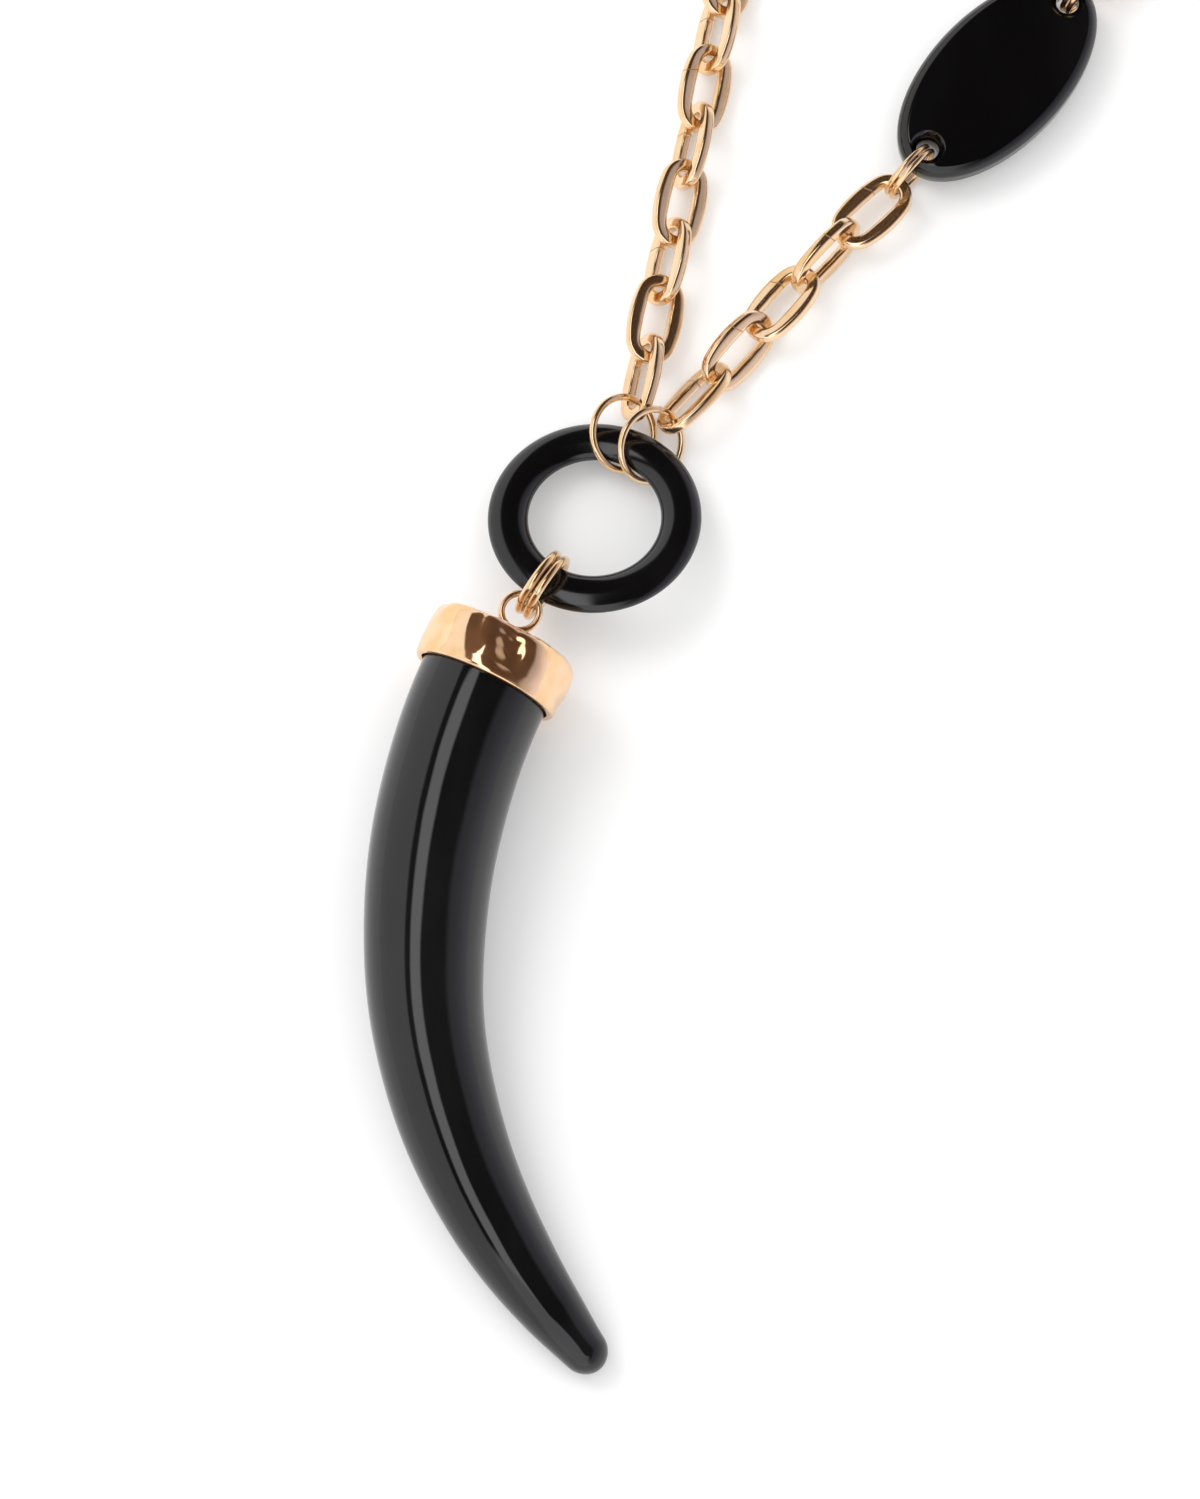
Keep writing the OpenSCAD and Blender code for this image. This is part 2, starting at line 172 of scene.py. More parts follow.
@dataclass
class Recipe:
    """A Geometry Nodes tree with named inputs, used on one object and then baked into its mesh."""

    name: str
    inputs: dict[str, tuple[str, object]]
    build: Callable[["Graph", dict[str, Term]], Term]

    def bake(self, source: bpy.types.Object, values: dict[str, object]) -> bpy.types.Mesh:
        """Runs the tree on an object.

        Args:
            source: The object that holds the points the tree works on.
            values: What each named input is set to.

        Returns:
            The plain mesh that comes out.
        """
        tree = bpy.data.node_groups.new(self.name, "GeometryNodeTree")
        face = tree.interface
        face.new_socket("Geometry", in_out="INPUT", socket_type="NodeSocketGeometry")
        face.new_socket("Geometry", in_out="OUTPUT", socket_type="NodeSocketGeometry")
        for label, (kind, default) in self.inputs.items():
            socket = face.new_socket(label, in_out="INPUT", socket_type=kind)
            if default is not None:
                socket.default_value = default
        graph = Graph(tree)
        entry = graph.add("NodeGroupInput")
        terms = {label: entry.out(label) for label in ("Geometry", *self.inputs)}
        graph.add("NodeGroupOutput", {"Geometry": self.build(graph, terms)})
        modifier = source.modifiers.new(self.name, "NODES")
        modifier.node_group = tree
        for item in face.items_tree:
            if item.item_type == "SOCKET" and item.in_out == "INPUT" and item.name in values:
                modifier[item.identifier] = values[item.name]
        mesh = baked_mesh(source)
        source.modifiers.remove(modifier)
        return mesh


# Finishes


class Slot(Enum):
    """The record's material slots."""

    RESIN = "resin"
    CAP = "cap_metal"
    WIRE = "gold_wire"
    CHAIN = "chain_metal"


def empty_material(name: str) -> Graph:
    """Returns the empty graph of a new material."""
    material = bpy.data.materials.new(name)
    material.use_nodes = True
    return Graph(material.node_tree)


def object_place(graph: Graph, stretch: Triple = (1, 1, 1)) -> Term:
    """Returns the place on the object, with each axis stretched."""
    place = graph.add("ShaderNodeTexCoord").out("Object")
    return graph.add("ShaderNodeMapping", {"Vector": place, "Scale": stretch}).out()


def noise(graph: Graph, place: Term, per_mm: float, detail: float = 3.0, rough: float = 0.5) -> Term:
    """Returns a noise from 0 to 1 with so many waves in a millimetre, and finer ones on them."""
    sockets = {"Vector": place, "Scale": per_mm / MM, "Detail": detail, "Roughness": rough}
    return graph.add("ShaderNodeTexNoise", sockets).out("Fac")


def bump(graph: Graph, height: Term, depth_mm: float, below: "Term | None" = None) -> Term:
    """Adds a bump.

    Args:
        graph: The material's graph.
        height: The relief, from 0 to 1.
        depth_mm: How deep a relief of 1 is.
        below: A normal that the bump stands on.

    Returns:
        The bumped normal.
    """
    sockets = {"Height": height, "Strength": 1.0, "Distance": depth_mm * MM}
    if below is not None:
        sockets["Normal"] = below
    return graph.add("ShaderNodeBump", sockets).out()


def blend_colour(graph: Graph, share: Term, low: "tuple | Term", high: "tuple | Term") -> Term:
    """Returns the mix of two colours at a share."""
    low, high = ((*end, 1.0) if isinstance(end, tuple) else end for end in (low, high))
    return graph.add("ShaderNodeMix", {0: share, 6: low, 7: high}, data_type="RGBA").out(2)


def vector(graph: Graph, x: Term, y: Term) -> Term:
    """Returns the level vector with these two parts."""
    return graph.add("ShaderNodeCombineXYZ", {"X": x, "Y": y, "Z": 0.0}).out()


def parts_of(graph: Graph, place: Term) -> tuple[Term, Term, Term]:
    """Returns a vector's three numbers."""
    parts = graph.add("ShaderNodeSeparateXYZ", {0: place})
    return parts.out("X"), parts.out("Y"), parts.out("Z")


def position(graph: Graph) -> Term:
    """Returns a point's place, in a geometry tree."""
    return graph.add("GeometryNodeInputPosition").out()


def read_point(graph: Graph, name: str, kind: str = "FLOAT") -> Term:
    """Returns a value that is stored on the points."""
    return graph.add("GeometryNodeInputNamedAttribute", {"Name": name}, data_type=kind).out()


def store_point(graph: Graph, thing: Term, name: str, value: Term, kind: str = "FLOAT") -> Term:
    """Returns the geometry with a value stored on its points."""
    sockets = {"Geometry": thing, "Name": name, "Value": value}
    return graph.add("GeometryNodeStoreNamedAttribute", sockets, data_type=kind, domain="POINT").out()


def unit_circle(graph: Graph, points: Term) -> Term:
    """Returns a circle of radius 1 as a curve."""
    return graph.add("GeometryNodeCurvePrimitiveCircle", {"Resolution": points, "Radius": 1.0}).out()


def finished(graph: Graph, thing: Term, finish: Term) -> Term:
    """Returns the geometry made real, with its material."""
    real = graph.add("GeometryNodeRealizeInstances", {"Geometry": thing}).out()
    return graph.add("GeometryNodeSetMaterial", {"Geometry": real, "Material": finish}).out()


@dataclass(frozen=True)
class BlackResin:
    """Polished black resin, with the faint unevenness of hand polishing."""

    name: str = "black_resin"
    deep: Triple = (0.0020, 0.0020, 0.0023)
    worn: Triple = (0.0045, 0.0043, 0.0048)
    gloss: float = 0.045
    smudge: float = 0.07
    wave_mm: float = 0.05
    ripple_mm: float = 0.008
    coat: float = 0.0
    coat_rough: float = 0.03
    rub_mm: float = 0.0012
    pit_rough: float = 0.1
    pit_share: float = 0.6
    grain: Triple = (1.0, 0.35, 1.0)

    def material(self) -> bpy.types.Material:
        """Returns the finish as a new material."""
        graph = empty_material(self.name)
        place = object_place(graph, self.grain)
        cloud = noise(graph, place, per_mm=0.09, detail=4.0)
        rub = noise(graph, place, per_mm=1.4, detail=5.0, rough=0.62)
        wave = noise(graph, place, per_mm=0.055, detail=1.5, rough=0.4)
        ripple = noise(graph, place, per_mm=0.19, detail=1.0, rough=0.4)
        specks = noise(graph, object_place(graph), per_mm=5.5, detail=2.0)
        pits = specks.ramp(0.74, 0.80)
        colour = blend_colour(graph, cloud.ramp(0.35, 0.75), self.deep, self.worn)
        smudges = rub.ramp(0.48, 0.80) * cloud.ramp(0.38, 0.66)
        rough = self.gloss + self.smudge * smudges + pits * self.pit_rough
        normal = bump(graph, wave, self.wave_mm)
        normal = bump(graph, ripple, self.ripple_mm, normal)
        normal = bump(graph, rub - pits * self.pit_share, self.rub_mm, normal)
        sockets = {
            "Base Color": colour,
            "Roughness": rough,
            "Normal": normal,
            "IOR": 1.5,
            "Coat Weight": self.coat,
            "Coat Roughness": self.coat_rough,
        }
        shader = graph.add("ShaderNodeBsdfPrincipled", sockets).out()
        graph.add("ShaderNodeOutputMaterial", {"Surface": shader})
        return bpy.data.materials[self.name]


@dataclass(frozen=True)
class PaleGold:
    """Polished pale gold plate, with fine rub marks and slightly warmer patches."""

    name: str
    plate: Triple = (0.90, 0.69, 0.46)
    warm: Triple = (0.84, 0.57, 0.29)
    gloss: float = 0.13
    rub: float = 0.10
    wave_mm: float = 0.012
    scratch_mm: float = 0.0016
    haze: Triple = (0.76, 0.40, 0.17)
    haze_share: float = 0.15
    haze_rough: float = 0.55
    grain: Triple = (1.0, 0.25, 1.0)
    seams: bool = False
    seam: Triple = (0.20, 0.11, 0.05)
    seam_rough: float = 0.25
    seam_mm: float = 0.03

    def material(self) -> bpy.types.Material:
        """Returns the finish as a new material."""
        graph = empty_material(self.name)
        place = object_place(graph)
        cloud = noise(graph, place, per_mm=0.22, detail=3.0)
        fine = noise(graph, object_place(graph, self.grain), per_mm=3.5, detail=4.0, rough=0.6)
        wave = noise(graph, place, per_mm=0.35, detail=1.0)
        colour = blend_colour(graph, cloud.ramp(0.42, 0.72), self.plate, self.warm)
        rough = self.gloss + self.rub * fine.ramp(0.45, 0.78)
        normal = bump(graph, wave, self.wave_mm)
        normal = bump(graph, fine, self.scratch_mm, normal)
        if self.seams:
            cut = self._seam(graph)
            colour = blend_colour(graph, cut, colour, self.seam)
            rough = rough + cut * self.seam_rough
            normal = bump(graph, 1.0 - cut, self.seam_mm, normal)
        sockets = {"Base Color": colour, "Roughness": rough, "Normal": normal, "Metallic": 1.0}
        shader = graph.add("ShaderNodeBsdfPrincipled", sockets).out()
        sockets.update({"Base Color": (*self.haze, 1.0), "Roughness": self.haze_rough})
        veil = graph.add("ShaderNodeBsdfPrincipled", sockets).out()
        shader = graph.add("ShaderNodeMixShader", {0: self.haze_share, 1: shader, 2: veil}).out()
        graph.add("ShaderNodeOutputMaterial", {"Surface": shader})
        return bpy.data.materials[self.name]

    @staticmethod
    def _seam(graph: Graph) -> Term:
        """Returns 1 on the fine line where a link's wire was closed, on some links only."""
        local = graph.add("ShaderNodeAttribute", attribute_name="local").out("Vector")
        luck = graph.add("ShaderNodeAttribute", attribute_name="luck").out("Fac")
        x, y, _ = parts_of(graph, local)
        slant, at, half, spread, least_luck = 0.35, 2.6 * MM, 0.02 * MM, 0.07 * MM, 0.45
        off = (x + y * slant - at).math("ABSOLUTE")
        line = 1.0 - off.ramp(half, spread)
        return line * y.math("GREATER_THAN", 0.0) * luck.math("GREATER_THAN", least_luck)


# Meshes


def baked_mesh(source: bpy.types.Object) -> bpy.types.Mesh:
    """Returns an object's mesh with its modifiers worked in."""
    bpy.context.view_layer.update()
    graph = bpy.context.evaluated_depsgraph_get()
    return bpy.data.meshes.new_from_object(source.evaluated_get(graph))


def place_object(name: str, mesh: bpy.types.Mesh) -> bpy.types.Object:
    """Returns a new object of the scene with that mesh, at the origin."""
    thing = bpy.data.objects.new(name, mesh)
    bpy.context.scene.collection.objects.link(thing)
    return thing


def tidy_mesh(mesh: bpy.types.Mesh, sharp: float) -> None:
    """Merges doubles, turns the faces outwards, and shades smooth but for sharp edges.

    Args:
        mesh: The mesh to tidy.
        sharp: The angle past which an edge stays crisp.
    """
    work = bmesh.new()
    work.from_mesh(mesh)
    bmesh.ops.remove_doubles(work, verts=work.verts, dist=1e-8)
    bmesh.ops.recalc_face_normals(work, faces=work.faces)
    for face in work.faces:
        face.smooth = True
    for edge in work.edges:
        edge.smooth = edge.calc_face_angle(0.0) < math.radians(sharp)
    work.to_mesh(mesh)
    work.free()


def tube_mesh(
    name: str,
    rings: Sequence[Sequence[Sequence[float]]],
    closed: bool,
    pose: Matrix = Matrix.Identity(4),
    sharp: float = 180.0,
) -> bpy.types.Mesh:
    """Makes a mesh that is a skin through closed rings of points, in millimetres.

    Args:
        name: The mesh's name.
        rings: Rings with the same number of points.
        closed: Whether the last ring joins the first; else each end is closed with a flat face.
        pose: Where the drawing goes, in millimetres.
        sharp: The angle past which an edge stays crisp.

    Returns:
        The finished mesh, in metres.
    """
    count, sides = len(rings), len(rings[0])
    points = [tuple(pose @ Vector(point) * MM) for ring in rings for point in ring]
    faces = []
    for i in range(count if closed else count - 1):
        a, b = i * sides, (i + 1) % count * sides
        faces += [(a + k, a + (k + 1) % sides, b + (k + 1) % sides, b + k) for k in range(sides)]
    if not closed:
        faces.append(tuple(reversed(range(sides))))
        faces.append(tuple(range((count - 1) * sides, count * sides)))
    mesh = bpy.data.meshes.new(name)
    mesh.from_pydata(points, [], faces)
    tidy_mesh(mesh, sharp)
    return mesh


def turned(axis: str, angle: float) -> Matrix:
    """Returns a turn about an axis, in degrees."""
    return Matrix.Rotation(math.radians(angle), 4, axis)


def moved(place: Sequence[float]) -> Matrix:
    """Returns a move."""
    return Matrix.Translation(Vector(place))


def ahead(heading: float) -> Vector:
    """Returns the level direction of a heading, which turns from +Y towards +X."""
    return Vector((math.sin(math.radians(heading)), math.cos(math.radians(heading)), 0.0))


def right_of(heading: float) -> Vector:
    """Returns the level direction to the right of a heading."""
    return Vector((math.cos(math.radians(heading)), -math.sin(math.radians(heading)), 0.0))


def turns(count: int) -> list[float]:
    """Returns evenly spaced angles of a whole turn, in radians."""
    return [2 * math.pi * i / count for i in range(count)]


def node_middle(node: str) -> Vector:
    """Returns the middle of a solid's box, in millimetres."""
    low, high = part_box(node)
    return (Vector(low) + Vector(high)) / (2 * MM)


def show(thing: bpy.types.Object, node: str, material: bpy.types.Material) -> None:
    """Dresses a piece and puts it in its solid's place.

    Args:
        thing: The finished piece.
        node: The solid that it stands for.
        material: The finish.
    """
    thing.data.materials.clear()
    thing.data.materials.append(material)
    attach(thing, "root")
    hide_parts(node)
    LOG.info("%s stands for %s: %d faces", thing.name, node, len(thing.data.polygons))


# The pendant


@dataclass
class Horn:
    """The black horn: a round section that follows a curve in plan, made by a node tree.

    Its rows are spaced evenly from the cap to the tip, and each is a heading and a share of the width.
    """

    length: float = 94.6
    width: float = 17.3
    seat: float = 6.8
    rim: Triple = (-14.3043, -23.5518, 10.15)
    heading: float = 25.5
    rest_share: float = 0.55
    least_radius: float = 0.02
    sides: int = 112
    body_steps: int = 180
    tip_steps: int = 24
    rows: tuple[tuple[float, float], ...] = (
        (24.0, 1.0), (17.5, 0.985), (12.0, 0.965), (5.0, 0.93), (-1.0, 0.885), (-10.0, 0.83),
        (-17.5, 0.775), (-25.0, 0.70), (-32.0, 0.605), (-38.0, 0.47), (-41.0, 0.31),
    )
    finish: BlackResin = BlackResin(
        name="horn_resin",
        deep=(0.0040, 0.0040, 0.0044),
        worn=(0.0090, 0.0088, 0.0094),
        wave_mm=0.3,
        ripple_mm=0.07,
    )

    def read(self, share: float, column: int) -> float:
        """Returns one column of the rows at a share of the length, smoothly."""
        last = len(self.rows) - 1
        x = min(1.0, max(0.0, share)) * last
        i = min(last - 1, int(x))
        a, b, c, d = (self.rows[min(last, max(0, k))][column] for k in (i - 1, i, i + 1, i + 2))
        t = x - i
        return b + 0.5 * t * (c - a + t * (2 * a - 5 * b + 4 * c - d + t * (3 * (b - c) + d - a)))

    def spine(self) -> list[tuple[Vector, float]]:
        """Returns the middle line as places and radii, seat end first."""
        tip_radius = self.width / 2 * self.rows[-1][1]
        blunt = 1 - tip_radius / self.length
        shares = [blunt * i / self.body_steps for i in range(self.body_steps + 1)]
        tip_turns = [math.pi / 2 * i / self.tip_steps for i in range(1, self.tip_steps + 1)]
        shares += [blunt + (1 - blunt) * math.sin(turn) for turn in tip_turns]
        lift = self.rim[2] - self.width / 2
        place = Vector((self.rim[0], self.rim[1], 0.0))
        line = [(Vector(self.rim) + ahead(self.heading) * self.seat, self.width / 2)]
        for i, share in enumerate(shares):
            full = self.width / 2 * self.read(share, 1)
            over = max(0.0, (share - blunt) / (1 - blunt))
            radius = full * math.sqrt(max(0.0, 1 - over * over))
            rise = lift * (1 + math.cos(math.pi * min(1.0, share / self.rest_share))) / 2
            line.append((place + Vector((0, 0, full + rise)), max(radius, self.least_radius)))
            if i < len(shares) - 1:
                step = (shares[i + 1] - share) * self.length
                place = place - ahead(self.read((share + shares[i + 1]) / 2, 0)) * step
        return line

    def build(self) -> bpy.types.Object:
        """Returns the horn's finished object."""
        line = self.spine()
        mesh = bpy.data.meshes.new("horn_line")
        mesh.from_pydata([tuple(p * MM) for p, _ in line], [(i, i + 1) for i in range(len(line) - 1)], [])
        girths = [radius * MM for _, radius in line]
        mesh.attributes.new("girth", "FLOAT", "POINT").data.foreach_set("value", girths)
        source = place_object("horn_line", mesh)
        material = self.finish.material()
        inputs = {
            "Sides": ("NodeSocketInt", 32),
            "Girth": ("NodeSocketFloat", 1.0),
            "Finish": ("NodeSocketMaterial", None),
        }
        result = Recipe("horn_skin", inputs, self._skin).bake(
            source, {"Sides": self.sides, "Girth": 1.0, "Finish": material}
        )
        bpy.data.objects.remove(source)
        tidy_mesh(result, 60.0)
        horn = place_object("polished_horn", result)
        show(horn, "horn", material)
        return horn

    @staticmethod
    def _skin(graph: Graph, terms: dict[str, Term]) -> Term:
        """Sweeps a circle along the line, as wide as the line's girth says."""
        girth = read_point(graph, "girth")
        curve = graph.add("GeometryNodeMeshToCurve", {"Mesh": terms["Geometry"]}).out()
        radius = girth * terms["Girth"]
        curve = graph.add("GeometryNodeSetCurveRadius", {"Curve": curve, "Radius": radius}).out()
        sockets = {"Curve": curve, "Profile Curve": unit_circle(graph, terms["Sides"]), "Fill Caps": True}
        sweep = graph.add("GeometryNodeCurveToMesh", sockets)
        if "Scale" in sweep.node.inputs:
            graph.tree.links.new(radius.value, sweep.node.inputs["Scale"])
        return finished(graph, sweep.out(), terms["Finish"])


@dataclass
class Cap:
    """The hollow hammered cap, with a plain rim and a soldered eye.

    A seen dent is given as its lean from the top, its height, its two half widths and its depth.
    """

    height: float = 8.5
    radius: float = 9.75
    bulge: float = 0.4
    waist: float = 3.825
    bore: float = 8.9
    depth: float = 6.95
    shoulder: float = 3.2
    dome: float = 34.0
    lip: float = 0.28
    rim: Triple = (-14.3043, -23.5518, 10.15)
    heading: float = 25.5
    eye_radius: float = 2.45
    eye_wire: float = 0.9
    eye_rise: float = 2.4
    dent: float = 0.36
    dent_size: float = 2.1
    dents: int = 40
    seed: int = 11
    seen_dents: tuple[tuple[float, float, float, float, float], ...] = (
        (-19.0, 5.6, 1.0, 2.6, 0.26), (-13.0, 2.9, 0.9, 1.3, 0.15), (-27.0, 6.9, 1.0, 0.9, 0.16),
        (9.0, 4.9, 2.3, 2.3, 0.20), (2.0, 6.2, 0.9, 0.6, 0.20), (13.0, 5.6, 0.9, 0.5, 0.20),
        (4.0, 4.6, 0.7, 0.6, 0.17), (19.0, 4.0, 0.6, 0.9, 0.20), (9.0, 3.2, 0.9, 0.5, 0.18),
        (-48.0, 7.9, 1.2, 0.5, 0.14), (30.0, 7.6, 1.3, 0.5, 0.14), (52.0, 7.4, 1.2, 0.5, 0.12),
    )
    steps: int = 320
    finish: PaleGold = PaleGold(
        name="hammered_plate", gloss=0.07, rub=0.05, wave_mm=0.09, haze=(1.0, 0.46, 0.20), haze_share=0.20
    )

    def outline(self) -> list[Triple]:
        """Returns the section as radius, height and how far hammering reaches there, outside first."""
        lip_steps, side_steps, shoulder_steps, top_steps, fade_steps = 8, 43, 30, 21, 12
        line: list[Triple] = []
        middle = self.radius - self.lip
        for i in range(lip_steps + 1):
            angle = math.radians(-90 + 90 * i / lip_steps)
            line.append((middle + self.lip * math.cos(angle), self.lip + self.lip * math.sin(angle), 0.0))
        side_top = self.height - self.shoulder
        for i in range(1, side_steps + 1):
            height = self.lip + (side_top - self.lip) * i / side_steps
            line.append((self._side(height), height, min(1.0, i / fade_steps)))
        centre = self.radius + self.bulge - self.shoulder
        for i in range(1, shoulder_steps + 1):
            angle = math.radians(90 * i / shoulder_steps)
            height = side_top + self.shoulder * math.sin(angle)
            line.append((min(centre + self.shoulder * math.cos(angle), self._side(height)), height, 1.0))
        for i in range(1, top_steps + 1):
            line.append((centre * (1 - i / top_steps) + 0.02, self.height, 1.0))
        line = [(r, min(h, self._dome(r)), reach) for r, h, reach in line]
        corner = 0.3
        inside = [(0.02, self.depth), (self.bore - corner, self.depth), (self.bore, self.depth - corner)]
        inside += [(self.bore, 0.5), (self.bore, 0.12), (self.bore + 0.1, 0.0)]
        return line + [(r, h, 0.0) for r, h in inside]

    def _side(self, height: float) -> float:
        """Returns the radius of the bulging side at a height."""
        arc = (self.waist**2 + self.bulge**2) / (2 * self.bulge)
        return self.radius + self.bulge - arc + math.sqrt(arc**2 - (height - self.waist) ** 2)

    def _dome(self, radius: float) -> float:
        """Returns the height of the domed top at a radius."""
        return self.height - self.dome + math.sqrt(self.dome**2 - min(radius, self.dome) ** 2)

    def build(self) -> bpy.types.Object:
        """Returns the cap's finished object."""
        line = np.array(self.outline())
        turn = np.arange(self.steps) * 2 * math.pi / self.steps
        radius, height, reach = (np.broadcast_to(c[:, None], (len(line), self.steps)) for c in line.T)
        points = np.stack([radius * np.cos(turn), radius * np.sin(turn), height], 2)
        points = points + self._hammer(points, reach)
        stand = moved(self.rim) @ turned("Z", -self.heading) @ turned("X", -90)
        body = tube_mesh("cap_body", points.tolist(), True, stand, 50.0)
        top = Vector(self.rim) + ahead(self.heading) * (self.height + self.eye_rise)
        loop = wire_rings(self.eye_radius, self.eye_wire, steps=96, sides=20)
        eye = tube_mesh("cap_eye", loop, True, moved(top))
        cap = place_object("hammered_cap", joined([body, eye]))
        show(cap, "cap", self.finish.material())
        return cap

    def _hammer(self, points: np.ndarray, reach: np.ndarray) -> np.ndarray:
        """Returns how far each point is beaten in, by soft marks that are scattered over the cap.

        Args:
            points: The cap's points, by section point and turn.
            reach: How much of a mark's depth each section point takes.

        Returns:
            The offsets.
        """
        rng = np.random.default_rng(self.seed)
        golden, side_share, reach_in = math.pi * (3 - math.sqrt(5)), 0.74, 0.94
        share = (np.arange(self.dents) + 0.5) / self.dents
        high = self.height * np.minimum(1.02, share * 1.35)
        inward = np.clip((share - side_share) / (1 - side_share), 0, 1)
        around = np.arange(self.dents) * golden + rng.uniform(-0.6, 0.6, self.dents)
        out = (self.radius + 0.2) * np.sqrt(1 - inward * reach_in)
        high = high + rng.uniform(-0.4, 0.4, self.dents)
        marks = np.stack([out * np.cos(around), out * np.sin(around), high], 1)
        size = self.dent_size * rng.uniform(0.85, 1.25, self.dents)
        deep = self.dent * rng.uniform(0.6, 1.1, self.dents)
        gap = np.linalg.norm(points[:, :, None, :] - marks[None, None], axis=3) / size
        sink = (deep * np.exp(-gap**2)).sum(2)
        lean = np.degrees(np.arctan2(points[:, :, 0], -points[:, :, 1]))
        for at, up, wide, tall, depth in self.seen_dents:
            across = np.radians((lean - at + 180) % 360 - 180) * self.radius / wide
            along = (points[:, :, 2] - up) / tall
            sink = sink + depth * np.exp(-(across**2) - along**2)
        sink = sink * reach
        centre = np.array([0.0, 0.0, self.height * 0.35])
        away = points - centre
        away[:, :, 2] *= np.clip((points[:, :, 2] - self.height * 0.55) / self.height * 2.2, 0, 1)
        away /= np.maximum(1e-6, np.linalg.norm(away, axis=2, keepdims=True))
        return -away * sink[:, :, None]


def joined(meshes: Sequence[bpy.types.Mesh]) -> bpy.types.Mesh:
    """Returns one mesh that holds all of them."""
    work = bmesh.new()
    for mesh in meshes:
        work.from_mesh(mesh)
    result = bpy.data.meshes.new(meshes[0].name)
    work.to_mesh(result)
    work.free()
    return result


def wire_rings(radius: float, wire: float, steps: int, sides: int, slit: float = 0.0) -> list[list[Vector]]:
    """Draws the rings of a wire that is bent round the Z axis.

    Args:
        radius: From the middle to the middle of the wire.
        wire: The wire's diameter.
        steps: How many rings there are.
        sides: How many points a ring has.
        slit: Width of the cut where the wire's ends meet, or 0 for none.

    Returns:
        The rings of points, in millimetres.
    """
    half = slit / radius / 2
    count = steps if slit == 0 else steps - 1
    rings = []
    for i in range(steps):
        turn = half + (2 * math.pi - 2 * half) * i / count
        ring = []
        for k in range(sides):
            angle = 2 * math.pi * k / sides
            reach = radius + wire / 2 * math.cos(angle)
            ring.append(Vector((reach * math.cos(turn), reach * math.sin(turn), wire / 2 * math.sin(angle))))
        rings.append(ring)
    return rings


@dataclass
class WireRing:
    """A ring of round wire, with the fine slit where it was closed."""

    node: str
    outer: float
    wire: float
    pose: Matrix
    slit: float = 0.05

    def build(self, material: bpy.types.Material) -> bpy.types.Object:
        """Makes and dresses the ring.

        Args:
            material: The finish.

        Returns:
            The finished object.
        """
        rings = wire_rings((self.outer - self.wire) / 2, self.wire, steps=160, sides=24, slit=self.slit)
        mesh = tube_mesh(self.node, rings, False, moved(node_middle(self.node)) @ self.pose, 50.0)
        ring = place_object("wire_" + self.node, mesh)
        show(ring, self.node, material)
        return ring


@dataclass
class BlackRing:
    """The black ring that everything hangs on, with an oval section."""

    outer: float = 28.0
    band: float = 5.3
    height: float = 3.1
    squareness: float = 1.9
    lean: float = 14.5222
    roll: float = 2.0
    steps: int = 256
    across: int = 56
    finish: BlackResin = BlackResin(name="ring_resin", gloss=0.15, coat=0.15, wave_mm=0.1, ripple_mm=0.10)

    def build(self) -> bpy.types.Object:
        """Returns the ring's finished object."""
        section = self._section()
        rings = []
        for turn in turns(self.steps):
            rings.append([Vector((r * math.cos(turn), r * math.sin(turn), z)) for r, z in section])
        pose = moved(node_middle("black_ring")) @ turned("X", -self.lean) @ turned("Y", -self.roll)
        ring = place_object("polished_ring", tube_mesh("polished_ring", rings, True, pose))
        show(ring, "black_ring", self.finish.material())
        return ring

    def _section(self) -> list[tuple[float, float]]:
        """Returns the section's points, as radius and height."""
        middle, power, points = (self.outer - self.band) / 2, 2 / self.squareness, []
        for turn in turns(self.across):
            x, z = (math.copysign(abs(v) ** power, v) for v in (math.cos(turn), math.sin(turn)))
            points.append((middle + self.band / 2 * x, self.height / 2 * z))
        return points


# The chain


@dataclass
class Link:
    """One flat-faced oval link's sizes; its bent ends are worn thinner on the inside."""

    length: float = 12.3
    width: float = 7.4
    wire: float = 2.0
    worn: float = 0.35
    thick: float = 1.5
    end_radius: float = 2.35

    def inputs(self) -> dict[str, float]:
        """Returns the sizes under the node tree's input names, in metres."""
        return {
            "Length": self.length * MM,
            "Width": self.width * MM,
            "Wire": self.wire * MM,
            "Worn": self.worn * MM,
            "Thickness": self.thick * MM,
            "End radius": self.end_radius * MM,
        }


@dataclass
class Stance:
    """Where a link lies: its middle, its heading and its roll about its own length."""

    place: Vector
    heading: float
    roll: float

    def turn(self) -> Triple:
        """Returns the turn that takes a link along X to this stance."""
        return (math.radians(self.roll), 0.0, math.radians(90 - self.heading))


